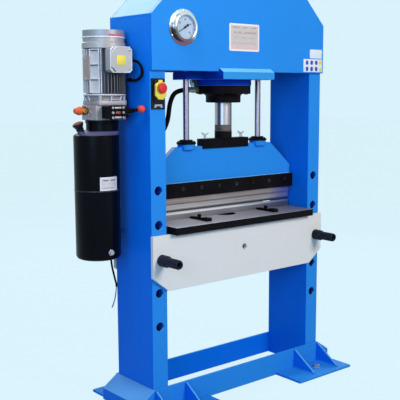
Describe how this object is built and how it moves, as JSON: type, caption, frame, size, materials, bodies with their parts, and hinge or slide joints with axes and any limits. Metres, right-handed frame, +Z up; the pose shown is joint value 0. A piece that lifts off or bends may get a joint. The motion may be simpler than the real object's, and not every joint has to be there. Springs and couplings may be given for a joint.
{
  "type": "hydraulic press",
  "caption": "Open H-frame hydraulic press with a long punch over a V block, an adjustable pinned table and a side mounted motor and oil tank.",
  "frame": {"origin": "on the floor, midway between the two posts in both directions, at the centre of the four anchor bolts", "axes": "+Z up; +X to the right as seen from the operator's side; +Y from the operator's side into the depth, so the table pins and the gauge face -Y"},
  "size_m": [1.4093, 0.584, 1.9],
  "materials": {
    "blue_paint": "smooth gloss enamel",
    "grey_paint": "satin enamel",
    "black_paint": "satin enamel",
    "black_oxide": "black oxide",
    "machined_steel": "machined",
    "die_steel": "ground",
    "chrome": "polished",
    "cast_aluminium": "cast, silver lacquer",
    "brass": "turned",
    "black_plastic": "moulded",
    "orange_plastic": "moulded",
    "yellow_plastic": "moulded",
    "red_plastic": "moulded",
    "dial_white": "matt print",
    "glass": "clear",
    "plate_aluminium": "brushed",
    "rubber": "smooth"
  },
  "bodies": {
    "frame": {"left_post": "blue_paint", "right_post": "blue_paint", "crown_plates": "blue_paint", "crown_covers": "blue_paint", "cylinder_mount_plate": "blue_paint", "guide_bushes": "brass", "base_rails": "blue_paint", "foot_plates": "blue_paint", "anchor_bolts": "machined_steel", "table_side_plates": "grey_paint", "table_spacers": "grey_paint", "die_plate": "die_steel", "v_die": "machined_steel", "cylinder_barrel": "machined_steel", "cylinder_head": "black_paint", "flange_bolts": "machined_steel", "tank_shell": "black_paint", "drain_plug": "chrome", "manifold_block": "cast_aluminium", "relief_valve": "brass", "valve_body": "black_paint", "pack_bracket": "black_oxide", "motor_housing": "cast_aluminium", "motor_end_shields": "cast_aluminium", "fan_cowl": "cast_aluminium", "terminal_box": "cast_aluminium", "terminal_lid": "cast_aluminium", "gear_pump": "machined_steel", "switch_box": "black_plastic", "gauge_case": "chrome", "gauge_dial": "dial_white", "gauge_glass": "glass", "nameplate": "plate_aluminium", "cable_glands": "black_plastic", "motor_cable": "rubber", "pressure_hose": "rubber", "supply_cord": "rubber"},
    "press_ram": {"ram_rod": "chrome", "ram_head": "black_oxide", "ram_flange": "black_paint", "press_beam": "blue_paint", "guide_rods": "chrome", "guide_rod_collars": "black_paint", "punch_holder": "black_paint", "punch_clamp_bar": "black_paint", "clamp_bolts": "black_oxide", "punch": "machined_steel"},
    "table_pin_left": {"left_table_pin": "black_oxide"},
    "table_pin_right": {"right_table_pin": "black_oxide"},
    "gauge_stop_left": {"left_gauge_stop": "black_oxide"},
    "gauge_stop_right": {"right_gauge_stop": "black_oxide"},
    "wing_screw_left": {"left_wing_screw": "chrome"},
    "wing_screw_right": {"right_wing_screw": "chrome"},
    "valve_lever_arm": {"valve_lever": "red_plastic"},
    "relief_knob_body": {"relief_knob": "orange_plastic"},
    "filler_cap_body": {"filler_cap": "black_plastic"},
    "rotor": {"motor_rotor": "machined_steel"},
    "switch_lid_body": {"switch_lid": "yellow_plastic"},
    "stop_button_body": {"stop_button": "red_plastic"},
    "needle": {"gauge_needle": "black_plastic"}
  },
  "joints": [
    {"name": "press_stroke", "type": "slide", "parent": "frame", "child": "press_ram", "axis": [0, 0, 1], "range_m": [-0.008, 0.105]},
    {"name": "left_table_pin_pull", "type": "slide", "parent": "frame", "child": "table_pin_left", "axis": [0, -1, 0], "range_m": [0, 0.33]},
    {"name": "right_table_pin_pull", "type": "slide", "parent": "frame", "child": "table_pin_right", "axis": [0, -1, 0], "range_m": [0, 0.33]},
    {"name": "left_gauge_stop_slide", "type": "slide", "parent": "frame", "child": "gauge_stop_left", "axis": [0, 1, 0], "range_m": [-0.045, 0.005]},
    {"name": "right_gauge_stop_slide", "type": "slide", "parent": "frame", "child": "gauge_stop_right", "axis": [0, 1, 0], "range_m": [-0.045, 0.005]},
    {"name": "left_wing_screw_turn", "type": "hinge", "parent": "press_ram", "child": "wing_screw_left", "pos_m": [-0.115, 0, 1.211], "axis": [0, 0, 1], "range_deg": [-180, 180]},
    {"name": "right_wing_screw_turn", "type": "hinge", "parent": "press_ram", "child": "wing_screw_right", "pos_m": [0.115, 0, 1.211], "axis": [0, 0, 1], "range_deg": [-180, 180]},
    {"name": "valve_lever_tilt", "type": "hinge", "parent": "frame", "child": "valve_lever_arm", "pos_m": [-0.604, -0.06, 1.35], "axis": [1, 0, 0], "range_deg": [-18, 18]},
    {"name": "relief_knob_turn", "type": "hinge", "parent": "frame", "child": "relief_knob_body", "pos_m": [-0.751, 0.064, 1.352], "axis": [1, 0, 0], "range_deg": [-180, 180]},
    {"name": "filler_cap_turn", "type": "hinge", "parent": "frame", "child": "filler_cap_body", "pos_m": [-0.751, 0.062, 1.254], "axis": [-0.4067, 0, 0.9135], "range_deg": [0, 90]},
    {"name": "motor_shaft_spin", "type": "hinge", "parent": "frame", "child": "rotor", "pos_m": [-0.639, 0.05, 1.5], "axis": [0, 0, 1], "continuous": true},
    {"name": "switch_lid_open", "type": "hinge", "parent": "frame", "child": "switch_lid_body", "pos_m": [-0.494, -0.16, 1.48], "axis": [-1, 0, 0], "range_deg": [0, 110]},
    {"name": "stop_button_press", "type": "slide", "parent": "switch_lid_body", "child": "stop_button_body", "axis": [0, 1, 0], "range_m": [0, 0.005], "stiffness_N_per_m": 500},
    {"name": "gauge_needle_sweep", "type": "hinge", "parent": "frame", "child": "needle", "pos_m": [-0.365, -0.158, 1.709], "axis": [0, 1, 0], "range_deg": [0, 252], "stiffness_Nm_per_rad": 0.002}
  ]
}
